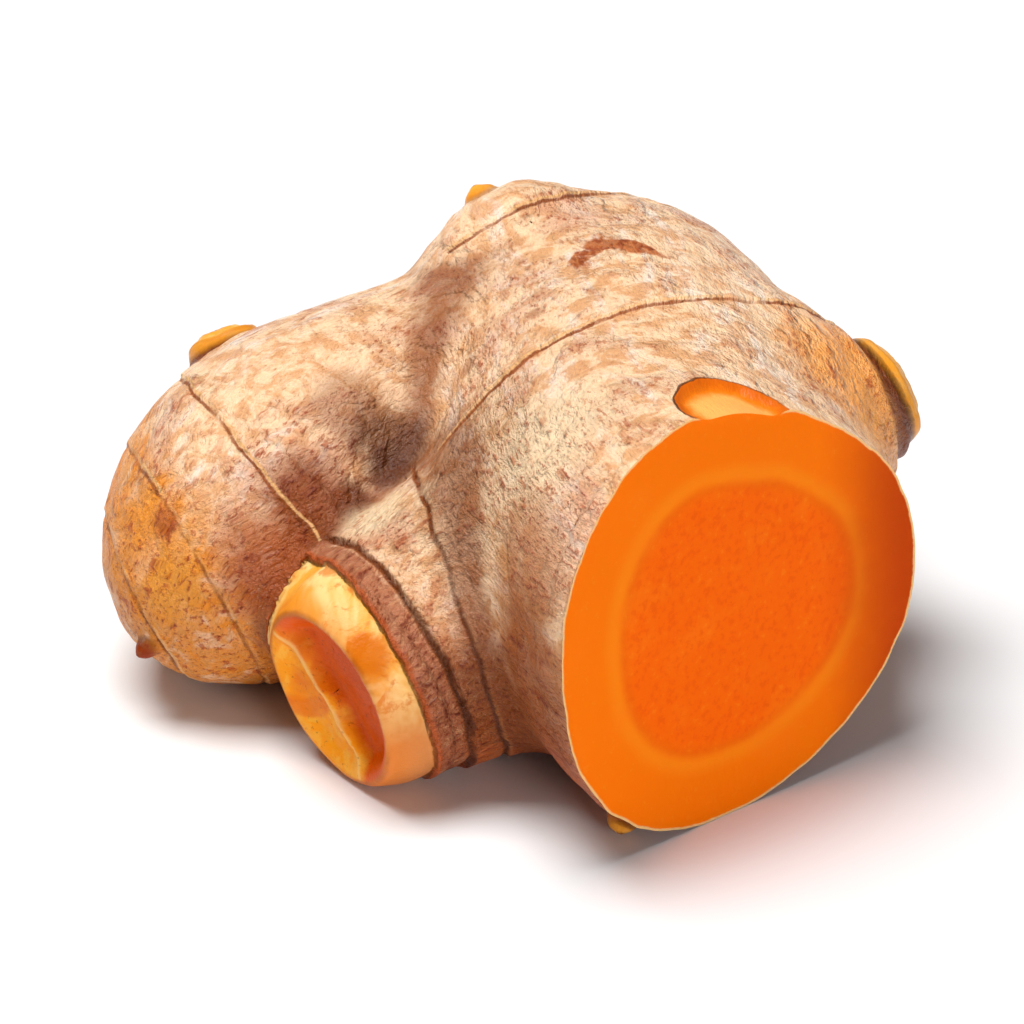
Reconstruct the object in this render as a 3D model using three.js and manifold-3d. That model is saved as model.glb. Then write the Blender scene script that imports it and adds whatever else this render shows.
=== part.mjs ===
// A piece of fresh turmeric root (rhizome), lying on a table.
//
// It grew as one piece, so it is one closed solid. A thick main finger was cut through at one
// end, a side finger grows out of its back and bends forward, and a short stub of a finger grows
// out of its flank. Small buds stand on all of them.
//
// Millimetres, +Z up. The origin is on the table, under the middle of the piece's box.

import * as THREE from 'three';
import { mergeVertices } from 'three/addons/utils/BufferGeometryUtils.js';
import Module from 'manifold-3d';

// ---- driving dimensions, mm ---------------------------------------------------------------

const CUT_RADIUS = 13.6;            // mean radius of the cut face
const CUT_HEIGHT = 13.25;           // its centre above the table
const CUT_TURN = THREE.MathUtils.degToRad(41.8);   // its outward normal, turned from -Y to +X
const CUT_CENTRE = new THREE.Vector3(12.9, -17.6, CUT_HEIGHT);

// Each finger is a row of balls, [x, y, z, radius], from where it starts to where it ends.
const MAIN_FINGER = [
  [4.4, 16.5, 13.2, 9.9], [5.5, 12.2, 12.6, 12.5], [7.4, 2.6, 13.0, 13.2],
  [9.7, -8.7, 13.1, 13.4], [...CUT_CENTRE, CUT_RADIUS], [16.6, -23.2, CUT_HEIGHT, CUT_RADIUS],
];
const SIDE_FINGER = [
  [2.8, 10.3, 13.2, 9.6], [-2.7, 10.1, 12.6, 9.0], [-8.4, 7.6, 11.2, 9.5],
  [-13.2, 3.7, 10.0, 10.1], [-15.8, 0.6, 9.0, 8.9], [-17.4, -1.2, 8.0, 7.1],
];
const STUB_FINGER = [
  [6.3, -6.8, 11.3, 10.5], [1.0, -8.1, 9.5, 9.0], [-3.6, -9.5, 7.95, 8.0],
  [-6.1, -10.9, 7.4, 7.5], [-7.7, -12.2, 6.8, 6.9],
];

// Each bud is a squashed ball that points along `out`.
const BUDS = {
  collarBud: { at: [-0.7, 14.9, 22.0], out: [-0.53, 0.47, 0.71], side: 4.8, tall: 2.9 },
  collarTip: { at: [-1.7, 16.1, 24.0], out: [-0.53, 0.47, 0.71], side: 0.9, tall: 1.2 },
  backBud: { at: [-16.9, 12.9, 14.0], out: [-0.4, 0.58, 0.71], side: 3.3, tall: 2.9 },
  flankSwelling: { at: [15.8, 3.7, 14.5], out: [0.82, 0.46, 0.34], side: 6.0, tall: 5.0 },
  flankBud: { at: [21.4, 5.0, 15.5], out: [0.82, 0.46, 0.34], side: 4.6, tall: 2.6 },
  footNub: { at: [6.5, -20.5, 1.2], out: [-0.21, -0.62, -0.75], side: 0.9, tall: 0.9 },
  tipNub: { at: [-21.9, -6.2, 5.0], out: [-0.74, -0.48, -0.47], side: 0.6, tall: 1.1 },
};

const SIDES = 44;                   // facets around a finger
const RINGS = 34;                   // rings of facets along a finger
const BUD_SIDES = 18;
const BUD_RINGS = 12;
const BALLS_BETWEEN = 40;           // balls worked out along a finger, between the given ones
const MERGE_WITHIN = 1e-4;         // corners closer than this are one corner
const UP = new THREE.Vector3(0, 0, 1);

// The cut face isn't quite round: two sides are fuller, and one corner of three is blunt.
const CUT_OVAL = 0.047;
const CUT_OVAL_TURN = THREE.MathUtils.degToRad(140);
const CUT_TRIANGLE = 0.042;
const CUT_TRIANGLE_TURN = THREE.MathUtils.degToRad(-6);
const OUTLINE_GROWS = 1.25;         // the outline reaches its full shape a fifth before the end

// ---- solids --------------------------------------------------------------------------------

const wasm = await Module();
wasm.setup();

function toSolid(geometry) {
  geometry.deleteAttribute('normal');
  geometry.deleteAttribute('uv');
  const merged = mergeVertices(geometry, MERGE_WITHIN);
  return new wasm.Manifold(new wasm.Mesh({
    numProp: 3,
    vertProperties: new Float32Array(merged.attributes.position.array),
    triVerts: new Uint32Array(merged.index.array),
  }));
}

function toGeometry(solid) {
  const mesh = solid.getMesh();
  const geometry = new THREE.BufferGeometry();
  geometry.setAttribute('position', new THREE.BufferAttribute(mesh.vertProperties, 3));
  geometry.setIndex(new THREE.BufferAttribute(mesh.triVerts, 1));
  return geometry;
}

// ---- fingers -------------------------------------------------------------------------------

// The share by which the main finger's outline differs from a circle at an angle around it,
// which grows from nothing at its start to the full shape of the cut face.
function cutOutline(along, angle) {
  const grown = Math.min(along * OUTLINE_GROWS, 1) ** 2;
  const oval = CUT_OVAL * Math.cos(2 * (angle - CUT_OVAL_TURN));
  const triangle = CUT_TRIANGLE * Math.cos(3 * (angle - CUT_TRIANGLE_TURN));
  return 1 + grown * (oval + triangle);
}

// A lathed finger whose radius at each slice is the widest of the balls there, bent along the
// curve through the balls' centres.
function finger(balls, outline = () => 1) {
  const path = new THREE.CatmullRomCurve3(
    balls.map(([x, y, z]) => new THREE.Vector3(x, y, z)), false, 'centripetal');
  const given = balls.length - 1;
  const radii = new THREE.SplineCurve(balls.map(([, , , r], i) => new THREE.Vector2(i, r)));

  const row = [];
  let length = 0;
  for (let i = 0; i <= BALLS_BETWEEN; i++) {
    const u = i / BALLS_BETWEEN;
    const centre = path.getPoint(u);
    if (i > 0) length += centre.distanceTo(row[i - 1].centre);
    row.push({ centre, at: length, radius: radii.getPoint(u).y });
  }
  const first = -row[0].radius;
  const last = length + row[BALLS_BETWEEN].radius;
  const girth = (s) => Math.sqrt(Math.max(0, ...row.map((b) => b.radius ** 2 - (s - b.at) ** 2)));

  const profile = [];
  for (let i = 0; i <= RINGS; i++) {
    const s = first + (last - first) * (1 - Math.cos(Math.PI * i / RINGS)) / 2;
    const onAxis = i === 0 || i === RINGS;
    profile.push(new THREE.Vector2(onAxis ? 0 : girth(s), s));
  }
  const geometry = new THREE.LatheGeometry(profile, SIDES);

  const position = geometry.attributes.position;
  for (let i = 0; i < position.count; i++) {
    const s = position.getY(i);
    const u = THREE.MathUtils.clamp(s / length, 0, 1);
    const along = path.getTangentAt(u);
    const side = new THREE.Vector3().crossVectors(UP, along).normalize();
    const above = new THREE.Vector3().crossVectors(along, side);
    const angle = Math.atan2(-position.getZ(i), position.getX(i));
    const swell = outline(u, angle);
    const point = path.getPointAt(u)
      .addScaledVector(along, s - u * length)
      .addScaledVector(side, position.getX(i) * swell)
      .addScaledVector(above, -position.getZ(i) * swell);
    position.setXYZ(i, point.x, point.y, point.z);
  }
  return toSolid(geometry);
}

function bud({ at, out, side, tall }) {
  const geometry = new THREE.SphereGeometry(1, BUD_SIDES, BUD_RINGS);
  geometry.scale(side, tall, side);
  const turn = new THREE.Quaternion().setFromUnitVectors(
    new THREE.Vector3(0, 1, 0), new THREE.Vector3(...out).normalize());
  geometry.applyQuaternion(turn);
  geometry.translate(...at);
  return toSolid(geometry);
}

// ---- the knife's cut and the table ------------------------------------------------------------

const BLOCK = 120;                  // larger than the whole piece

function cutAway() {
  const geometry = new THREE.BoxGeometry(BLOCK, BLOCK, BLOCK);
  geometry.translate(0, -BLOCK / 2, 0);
  geometry.rotateZ(CUT_TURN);
  geometry.translate(...CUT_CENTRE);
  return toSolid(geometry);
}

// What lies under the table's top: the piece has settled into small flats where it touches it.
function underTable() {
  const geometry = new THREE.BoxGeometry(BLOCK, BLOCK, BLOCK);
  geometry.translate(0, 0, -BLOCK / 2);
  return toSolid(geometry);
}

// ---- the root --------------------------------------------------------------------------------

function turmericRoot() {
  let root = finger(MAIN_FINGER, cutOutline).add(finger(SIDE_FINGER)).add(finger(STUB_FINGER));
  for (const each of Object.values(BUDS)) root = root.add(bud(each));
  root = root.subtract(cutAway()).subtract(underTable());

  const geometry = toGeometry(root);
  geometry.computeBoundingBox();
  const middle = geometry.boundingBox.getCenter(new THREE.Vector3());
  geometry.translate(-middle.x, -middle.y, -geometry.boundingBox.min.z);
  geometry.computeVertexNormals();
  return geometry;
}

const root = new THREE.Mesh(
  turmericRoot(), new THREE.MeshStandardMaterial({ color: 0xc79b6b, roughness: 0.6, metalness: 0 }));
root.name = 'turmeric_root';

const turmeric = new THREE.Group();
turmeric.add(root);

export default turmeric;
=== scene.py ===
# %% [markdown]
# # A cut piece of fresh turmeric root
#
# Turmeric is a rhizome: a stem that grows under the soil in thick, knobbly fingers. This piece is a
# thick main finger with a side finger on its back and a short stub on its flank. The main finger was
# cut through with a knife. The root is one grown thing, so it is one mesh here, with two finishes:
# the papery skin, and the wet orange flesh where the knife went.
#
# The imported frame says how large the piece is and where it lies, so it is loaded first.

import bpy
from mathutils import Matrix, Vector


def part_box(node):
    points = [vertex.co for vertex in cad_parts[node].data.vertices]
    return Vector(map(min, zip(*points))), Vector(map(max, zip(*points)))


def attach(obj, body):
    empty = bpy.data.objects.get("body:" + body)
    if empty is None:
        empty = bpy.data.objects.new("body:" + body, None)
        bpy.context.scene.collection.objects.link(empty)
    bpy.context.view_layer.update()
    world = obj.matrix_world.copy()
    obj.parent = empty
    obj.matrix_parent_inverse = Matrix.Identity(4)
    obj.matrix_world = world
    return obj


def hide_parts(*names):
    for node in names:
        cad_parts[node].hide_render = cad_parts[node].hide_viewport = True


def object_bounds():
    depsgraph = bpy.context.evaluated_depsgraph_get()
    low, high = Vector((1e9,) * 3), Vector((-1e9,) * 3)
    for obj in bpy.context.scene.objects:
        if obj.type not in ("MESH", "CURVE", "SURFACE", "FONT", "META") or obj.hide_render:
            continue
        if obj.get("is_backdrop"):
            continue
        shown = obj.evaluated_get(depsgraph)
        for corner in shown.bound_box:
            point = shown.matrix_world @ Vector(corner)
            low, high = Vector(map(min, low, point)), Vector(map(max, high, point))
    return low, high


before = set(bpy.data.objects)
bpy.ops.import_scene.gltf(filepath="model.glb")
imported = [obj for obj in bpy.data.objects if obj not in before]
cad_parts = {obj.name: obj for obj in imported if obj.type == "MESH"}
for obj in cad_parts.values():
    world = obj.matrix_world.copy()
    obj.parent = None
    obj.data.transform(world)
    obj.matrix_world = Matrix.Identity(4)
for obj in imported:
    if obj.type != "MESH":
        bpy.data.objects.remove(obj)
cad_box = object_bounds()

# %% [markdown]
# All the sculpting is done in millimetres, in numpy arrays, because a turmeric root is easier to
# think of in millimetres. Places are given as shares of the frame's box, from its lowest corner to
# its highest, so they follow the frame. The mesh turns to metres only when it is finished.

# %% Millimetres and places
import math

import bmesh
import bpy
import numpy as np
from mathutils import Matrix, Vector, noise

MM = 0.001
LOW, HIGH = (np.array(corner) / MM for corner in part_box("turmeric_root"))
SIZE = HIGH - LOW
TALL = SIZE[2]


def spot(x, y, z):
    """A place in millimetres, from its shares of the frame's box."""
    return LOW + SIZE * (x, y, z)


def unit(*direction):
    return np.array(direction) / np.linalg.norm(direction)


print("the frame's box is", SIZE.round(1), "mm")

# %% [markdown]
# ## The fingers
#
# A finger of rhizome swells and shrinks along its length and is round across. A metaball chain, a
# skin modifier or a bent lathe could all make that. Here each finger is a row of balls, because one
# short list then says where it runs and how thick it is, and the same rows later give the skin its
# lengthwise grain. A Catmull-Rom curve fills in the balls between the listed ones.

# %% Rows of balls
# Each ball: shares of the box along X, Y and Z, and its radius as a share of the box's height.
FINGERS = {
    "main": [(0.588, 0.813, 0.486, 0.365), (0.610, 0.732, 0.464, 0.460), (0.649, 0.551, 0.479, 0.486),
             (0.695, 0.337, 0.482, 0.493), (0.760, 0.169, 0.488, 0.501), (0.835, 0.064, 0.488, 0.501)],
    "side": [(0.556, 0.696, 0.486, 0.353), (0.445, 0.692, 0.464, 0.331), (0.329, 0.645, 0.412, 0.350),
             (0.232, 0.572, 0.368, 0.372), (0.180, 0.513, 0.331, 0.328), (0.148, 0.479, 0.295, 0.261)],
    "stub": [(0.627, 0.373, 0.416, 0.387), (0.518, 0.352, 0.366, 0.343), (0.427, 0.322, 0.303, 0.303),
             (0.376, 0.296, 0.272, 0.276), (0.344, 0.271, 0.250, 0.254)],
}
BALLS_IN_A_ROW = 24


def fill_in(listed):
    """The row's balls, x, y, z and radius in millimetres, on a smooth curve through the listed ones."""
    given = np.array([[*spot(x, y, z), radius * TALL] for x, y, z, radius in listed])
    padded = np.vstack([2 * given[0] - given[1], given, 2 * given[-1] - given[-2]])
    balls = []
    for place in np.linspace(0, len(given) - 1, BALLS_IN_A_ROW):
        first = min(int(place), len(given) - 2)
        t = place - first
        a, b, c, d = padded[first:first + 4]
        balls.append(0.5 * (2 * b + (c - a) * t + (2 * a - 5 * b + 4 * c - d) * t**2
                            + (3 * b - a - 3 * c + d) * t**3))
    return np.array(balls)


ROWS = {name: fill_in(listed) for name, listed in FINGERS.items()}
for name, row in ROWS.items():
    run = np.linalg.norm(np.diff(row[:, :3], axis=0), axis=1).sum()
    print(name, "finger runs", run.round(1), "mm and is up to", (2 * row[:, 3].max()).round(1), "mm thick")

# %% [markdown]
# The knife went straight down through the main finger. Its section there isn't quite round: two
# sides are fuller and one corner is blunt, as in most roots that grew against their neighbours.
# That is two waves around the circle, one with two crests and one with three, which grow towards
# the cut.

# %% The cut and its outline
CUT_TURN = math.radians(41.8)
CUT_CENTRE = spot(0.760, 0.169, 0.488)
CUT_OUT = unit(math.sin(CUT_TURN), -math.cos(CUT_TURN), 0)
CUT_ACROSS = unit(math.cos(CUT_TURN), math.sin(CUT_TURN), 0)
CUT_RADIUS = 0.501 * TALL


def outline(along, angle):
    """The share by which the main finger's section is wider than a circle."""
    grown = np.clip(along * 1.25, 0, 1) ** 2
    oval = 0.047 * np.cos(2 * (angle - math.radians(140)))
    triangle = 0.042 * np.cos(3 * (angle + math.radians(6)))
    return 1 + grown * (oval + triangle)

# %% [markdown]
# To melt the balls into one smooth body we need to know, for any point, how far it is outside each
# row. The same walk along the row also tells how far along the finger the point is, and where it is
# around it: that is the grain, which the skin's fibres follow.

# %% Distance to a finger, and its grain
def follow(name, points):
    """Millimetres outside the finger, and the grain: millimetres sideways, above and along it."""
    row = ROWS[name]
    nearest = np.full(len(points), 1e9)
    grain = np.zeros((len(points), 3))
    lengths = np.linalg.norm(np.diff(row[:, :3], axis=0), axis=1)
    start = 0.0
    for here, there, length in zip(row[:-1], row[1:], lengths):
        ahead = (there[:3] - here[:3]) / length
        side = unit(*np.cross((0, 0, 1), ahead))
        above = np.cross(ahead, side)
        step = np.clip((points - here[:3]) @ ahead / length, 0, 1)
        out = points - here[:3] - np.outer(step * length, ahead)
        radius = here[3] + step * (there[3] - here[3])
        if name == "main":
            angle = np.arctan2(out @ above, out @ side)
            radius = radius * outline((start + step * length) / lengths.sum(), angle)
        outside = np.linalg.norm(out, axis=1) - radius
        closer = outside < nearest
        nearest[closer] = outside[closer]
        place = np.stack([out @ side, out @ above, start + step * length + out @ ahead], axis=1)
        grain[closer] = place[closer]
        start += length
    return nearest, grain

# %% [markdown]
# ## Buds
#
# Every finger carries buds, from which new fingers would grow. Most are low domes. Each is a squashed
# ball that points along `out`. The one on the hump's shoulder is a blunt cone with a small waxy tip.

# %% The buds
BUD_LIST = {
    # shares of the box along X, Y and Z, the way it points, then millimetres: half its width, its height
    # and the fillet that joins it to the finger
    "collar_bud": ((0.485, 0.783, 0.810), (-0.53, 0.47, 0.71), 4.8, 2.9, 1.6),
    "collar_tip": ((0.465, 0.806, 0.884), (-0.53, 0.47, 0.71), 0.9, 1.2, 1.0),
    "back_bud": ((0.158, 0.745, 0.515), (-0.4, 0.58, 0.71), 3.3, 2.9, 1.0),
    "flank_swelling": ((0.822, 0.545, 0.560), (0.82, 0.46, 0.34), 6.6, 5.9, 4.5),
    "flank_bud": ((0.932, 0.596, 0.590), (0.82, 0.46, 0.34), 4.3, 2.6, 1.0),
    "foot_nub": ((0.631, 0.115, 0.044), (-0.21, -0.62, -0.75), 0.9, 0.9, 1.0),
    "tip_nub": ((0.057, 0.385, 0.184), (-0.74, -0.48, -0.47), 0.6, 0.8, 1.0),
}
BUDS = {name: dict(at=spot(*at), out=unit(*out), wide=wide, high=high, melt=melt)
        for name, (at, out, wide, high, melt) in BUD_LIST.items()}


def from_axis(points, at, out):
    """Millimetres along an axis, and away from it."""
    away = points - at
    along = away @ out
    return along, np.sqrt(np.maximum((away**2).sum(axis=1) - along**2, 0))


def bud_distance(bud, points):
    along, across = from_axis(points, bud["at"], bud["out"])
    squashed = np.hypot(across / bud["wide"], along / bud["high"])
    return (squashed - 1) * min(bud["wide"], bud["high"])


print(len(BUDS), "buds, the widest", 2 * max(bud["wide"] for bud in BUDS.values()), "mm across")

# %% [markdown]
# ## The stub's broken end
#
# The tip of the stub broke off long ago and healed: a flat, round end with a dish in it. The dish is
# deepest towards `deep_side`, and a crease divides that side from a shallower one. A plane cuts the
# end off, and the dish is pressed in later.

# %% The broken end
DISH = dict(at=spot(0.280, 0.227, 0.220), facing=unit(-0.794, -0.574, -0.203), radius=5.5,
            deep_side=unit(0.366, -0.716, 0.593), depth=1.5, crease=-1.5)


def past(plane, points):
    """Millimetres past a plane, towards the finger's tip."""
    return (points - plane["at"]) @ plane["facing"]


print("the dish is", 2 * DISH["radius"], "mm across and", DISH["depth"], "mm deep")

# %% [markdown]
# Fingers flow into each other without a seam. A boolean union would leave a sharp crease, so a smooth
# minimum joins the distances instead, with a fillet `blend` millimetres wide.

# %% Melting it all together
SIDE_BLEND, STUB_BLEND, END_BLEND = 3.5, 2.8, 0.7  # mm


def melt(one, other, blend):
    share = np.clip(0.5 + 0.5 * (other - one) / blend, 0, 1)
    return other * (1 - share) + one * share - blend * share * (1 - share)


def body_distance(points):
    """Millimetres outside the whole root, before the knife and the table have had their share."""
    distance = melt(follow("main", points)[0], follow("side", points)[0], SIDE_BLEND)
    stub = -melt(-follow("stub", points)[0], -past(DISH, points), END_BLEND)
    distance = melt(distance, stub, STUB_BLEND)
    for bud in BUDS.values():
        distance = melt(distance, bud_distance(bud, points), bud["melt"])
    return distance

# %% [markdown]
# Now the clay. The balls are joined as loose spheres, a voxel remesh turns them into one even skin
# of small squares, and each corner then slides along its normal until it lies on the melted shape.

# %% The blank
SQUARE = 0.40  # mm, the side of a square of the skin


def blank():
    clay = bmesh.new()
    for x, y, z, radius in np.vstack(list(ROWS.values())):
        bmesh.ops.create_icosphere(clay, subdivisions=3, radius=radius,
                                   matrix=Matrix.Translation((x, y, z)))
    for bud in BUDS.values():
        turn = Vector(bud["out"]).to_track_quat("Z", "Y").to_matrix().to_4x4()
        squash = Matrix.Diagonal((bud["wide"], bud["wide"], bud["high"], 1))
        bmesh.ops.create_icosphere(clay, subdivisions=3, radius=1,
                                   matrix=Matrix.Translation(bud["at"]) @ turn @ squash)
    mesh = bpy.data.meshes.new("clay")
    clay.to_mesh(mesh)
    clay.free()
    lump = bpy.data.objects.new("clay", mesh)
    bpy.context.scene.collection.objects.link(lump)
    remesh = lump.modifiers.new("one skin", "REMESH")
    remesh.mode = "VOXEL"
    remesh.voxel_size = SQUARE
    skin = bpy.data.meshes.new_from_object(lump.evaluated_get(bpy.context.evaluated_depsgraph_get()))
    bpy.data.objects.remove(lump)
    bpy.data.meshes.remove(mesh)
    return skin


def in_threes(items, name):
    flat = np.empty(len(items) * 3, np.float32)
    items.foreach_get(name, flat)
    return flat.reshape(-1, 3).astype(float)


def corners(mesh):
    return in_threes(mesh.vertices, "co")


def normals(mesh):
    return in_threes(mesh.vertex_normals, "vector")


def move_corners(mesh, points):
    mesh.vertices.foreach_set("co", points.astype(np.float32).ravel())
    mesh.update()


def settle(mesh, rounds):
    """Slides each corner along its normal onto the melted shape."""
    for _ in range(rounds):
        points = corners(mesh)
        move_corners(mesh, points - normals(mesh) * body_distance(points)[:, None])


skin = blank()
settle(skin, rounds=4)
print("blank:", len(skin.polygons), "squares, furthest from the shape",
      np.abs(body_distance(corners(skin))).max().round(3), "mm")

# %% [markdown]
# ## Scars
#
# Each leaf that once wrapped the rhizome left a ring scar: a thin raised edge of old sheath, with a
# dark line beside it. A ring lies nearly in a plane across its finger, so each is a point in that
# plane, the way the plane faces, and how deep the scar is. They crowd towards the tips.

# %% Ring scars
RING_LIST = [
    # the finger, shares of the box along X, Y and Z, the way the plane faces, and its depth in millimetres
    ("main", (0.643, 0.577, 0.477), (0.443, -0.778, -0.446), 0.14),
    ("main", (0.479, 0.726, 0.899), (0.473, -0.644, -0.602), 0.13),
    ("side", (0.279, 0.542, 0.724), (-0.942, -0.244, -0.229), 0.04),
    ("side", (0.222, 0.561, 0.362), (-0.777, -0.314, -0.546), 0.14),
    ("side", (0.135, 0.356, 0.382), (-0.861, -0.274, -0.429), 0.11),
    ("side", (0.069, 0.371, 0.232), (-0.884, -0.126, -0.450), 0.11),
    ("stub", (0.442, 0.328, 0.302), (-0.951, -0.159, -0.264), 0.26),
    ("stub", (0.367, 0.290, 0.268), (-0.828, -0.472, -0.303), 0.30),
]
RINGS = [dict(finger=finger, at=spot(*at), facing=unit(*facing), depth=depth)
         for finger, at, facing, depth in RING_LIST]
TIP_RING, STUB_RING = RINGS[4], RINGS[-1]  # past these the skin is thin and new, or torn
BULB = dict(at=spot(0.345, 0.211, 0.364), facing=unit(-0.857, -0.425, -0.292))  # past this it is bare wax


def smooth(value, start, end):
    """0 before start, 1 after end, and a smooth slope between."""
    t = np.clip((value - start) / (end - start), 0, 1)
    return t * t * (3 - 2 * t)


def bump(value, width):
    """1 where the value is 0, and falling away on both sides."""
    return np.exp(-(value / width) ** 2)


print(len(RINGS), "ring scars")

# %% [markdown]
# ## The survey
#
# Before the relief is carved, each corner of the skin is surveyed once: whose finger is it on, how
# deep in a fork, how far from each bud, scar and wound. Distances are signed millimetres, positive
# inside a mark, because a signed distance stays sharp between corners where a painted mask would
# blur. The same fields shape the relief and, stored on the mesh, tell the skin's colours apart.
#
# First three marks: the knife slipped and shaved an oval chip off behind the cut, the hump was scuffed
# in the soil and healed as an arch, and the buds' waxy domes break through the skin.

# %% The chip, the scuff and the domes
MARK_REACH = 4.0   # mm, how far from a mark its distance is kept
FAR = 9.0          # mm, further away than any ring shows
CHIP = dict(across=0.6, back=0.4, half_wide=3.7, half_long=3.6, depth=0.60)
SCUFF = dict(peak=spot(0.611, 0.620, 0.956), left=3.2, right=6.0, left_slope=1.5, right_slope=0.6,
             half_thick=0.95, rounding=0.8)
DOMES = {"back_bud": 2.7, "flank_bud": 4.0, "collar_tip": 1.3, "foot_nub": 1.0, "tip_nub": 0.9}  # radii, mm
BUD_RING = 0.55    # mm, half the width of a fold around a bud
FORK_REACH = 3.0   # mm, how far a fork's mark spreads up the fingers: its darker tone, soil staining with painted shade over it
STUB_FADE, SIDE_FADE = 12, 30  # mm for a whole share of a finger, where its marks end on the next
print("a chip", 2 * CHIP["half_wide"], "mm wide, a scuff and", len(DOMES), "domes")

# %% [markdown]
# A point belongs to the finger it is nearest to, and a fork is where the second-nearest is close as
# well. Every mark is then a small sum in its own plane.

# %% Surveying points
def kept(distance):
    """A distance, no longer than MARK_REACH."""
    return np.clip(distance, -MARK_REACH, MARK_REACH)


def survey(points):
    """Every field of the marks at the points."""
    outside, grain = {}, {}
    for name in ROWS:
        outside[name], grain[name] = follow(name, points)
    nearness = {name: np.exp(-np.maximum(outside[name], -1) / 0.7) for name in ROWS}
    total = sum(nearness.values())
    on = {name: nearness[name] / total for name in ROWS}
    second = np.sort(np.stack(list(outside.values())), axis=0)[1]
    collar = bud_distance(BUDS["collar_bud"], points)

    dome = np.full(len(points), -MARK_REACH)
    core = np.full(len(points), MARK_REACH)
    bud_size = np.zeros(len(points))
    for name, radius in DOMES.items():
        along, across = from_axis(points, BUDS[name]["at"], BUDS[name]["out"])
        inside = np.where(along > -radius, radius - across, -MARK_REACH)
        core = np.where(inside > dome, across, core)
        bud_size = np.where(inside > dome, radius, bud_size)
        dome = np.maximum(dome, inside)
    near_bud = smooth(dome, -3.0, -0.5)

    above, in_plane = from_axis(points, DISH["at"], DISH["facing"])
    to_side = (points - DISH["at"]) @ DISH["deep_side"]
    dish = np.where(above > -5, DISH["radius"] - in_plane, -MARK_REACH)

    from_cut = points - CUT_CENTRE
    across, back = from_cut @ CUT_ACROSS, -(from_cut @ CUT_OUT)
    chip = 1 - np.hypot((across - CHIP["across"]) / CHIP["half_wide"],
                        (back - CHIP["back"]) / CHIP["half_long"])
    chip = np.where(points[:, 2] > CUT_CENTRE[2], chip * CHIP["half_long"], -MARK_REACH)

    right, up = (points - SCUFF["peak"])[:, :2].T
    away = np.hypot(right, SCUFF["rounding"]) - SCUFF["rounding"]
    arch = -np.where(right > 0, SCUFF["right_slope"], SCUFF["left_slope"]) * away - 0.25
    steep = np.where(right > 0, np.hypot(1, SCUFF["right_slope"]), np.hypot(1, SCUFF["left_slope"]))
    fade = np.maximum(smooth(right, SCUFF["right"] * 0.3, SCUFF["right"]),
                      smooth(-right, SCUFF["left"] * 0.4, SCUFF["left"]))
    scuff = SCUFF["half_thick"] * (1 - fade * 1.6) - np.abs(up - arch) / steep
    scuff = np.where(points[:, 2] > SCUFF["peak"][2] - 6, scuff, -MARK_REACH)

    return dict(
        on=on, grain=grain, points=points,
        fork=(1 - smooth(second, 0.6, FORK_REACH)) * (1 - near_bud) * smooth(collar, -0.2, 1.0),
        dome=kept(dome), core=np.clip(core, 0, MARK_REACH), bud_size=bud_size,
        bulb=kept(np.minimum(past(BULB, points), (on["stub"] - 0.5) * STUB_FADE)),
        dish=kept(dish), dish_side=to_side,
        sheath=kept(np.minimum(past(STUB_RING, points), (on["stub"] - 0.5) * STUB_FADE)),
        chip=kept(chip), scuff=kept(scuff),
        tip=np.minimum(past(TIP_RING, points) + 3.0, (on["side"] - 0.4) * SIDE_FADE),
        rings=[np.where(on[ring["finger"]] > 0.5, past(ring, points), FAR) for ring in RINGS],
    )

# %% [markdown]
# Nothing that grew is even. One noise makes all of it, and each use has a seed that moves it to
# another part of the same noise.

# %% Noise on the surface
def lumps(points, size, seed):
    """Smooth noise from -1 to 1 with bumps about `size` mm across."""
    shift = Vector((seed * 7.3, seed * 3.1, seed * 5.7))
    return np.array([noise.noise(Vector(point / size) + shift) for point in points])


# %% [markdown]
# The knife cuts the blank. Corners that lie almost in the knife's plane are first moved into it, so
# that the cut leaves no slivers. Then the squares beside scars, wounds, buds and the cut are divided
# in four, because their edges are sharper than the rest of the skin. Last, noise makes the edges of
# the marks ragged; `waver` is the noise that every ring scar shares.

# %% Cut, then divide where the detail is
FINE_BAND = 0.7   # mm on each side of a sharp edge
SNAP = 0.12       # mm, a corner this near the knife's plane is moved into it
ON_PLANE = 0.01   # mm, a corner this near the knife's plane counts as in it
RAGGED = {
    # the field: millimetres of noise added to it, how wide its bumps are in millimetres, and the seed
    "waver": (0.22, 2.2, 3),
    "dish_side": (0.9, 3.0, 12),
    "chip": (0.25, 1.6, 13),
    "core": (0.25, 1.8, 16),
    "scuff": (0.30, 0.9, 14),
}


def beside_detail(points):
    field = survey(points)
    near = np.zeros(len(points), bool)
    for name, band in (("bulb", 1.0), ("dish", 1.6), ("chip", 1.0), ("dome", 1.2), ("scuff", 0.6)):
        near |= np.abs(field[name]) < band
    for ring in field["rings"]:
        near |= np.abs(ring) < FINE_BAND
    return near | (np.abs((points - CUT_CENTRE) @ CUT_OUT) < FINE_BAND)


def cut_and_divide(mesh):
    points = corners(mesh)
    beyond = (points - CUT_CENTRE) @ CUT_OUT
    move_corners(mesh, points - np.where(np.abs(beyond) < SNAP, beyond, 0)[:, None] * CUT_OUT)
    work = bmesh.new()
    work.from_mesh(mesh)
    bmesh.ops.bisect_plane(work, geom=work.verts[:] + work.edges[:] + work.faces[:],
                           plane_co=CUT_CENTRE, plane_no=CUT_OUT, dist=ON_PLANE, clear_outer=True)
    near = beside_detail(np.array([corner.co for corner in work.verts]))
    fine = {corner for corner, is_near in zip(work.verts, near) if is_near}
    edges = [edge for edge in work.edges if edge.verts[0] in fine and edge.verts[1] in fine]
    bmesh.ops.subdivide_edges(work, edges=edges, cuts=1, use_grid_fill=True)
    bmesh.ops.triangulate(work, faces=[face for face in work.faces if len(face.verts) > 4])
    work.to_mesh(mesh)
    work.free()


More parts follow.
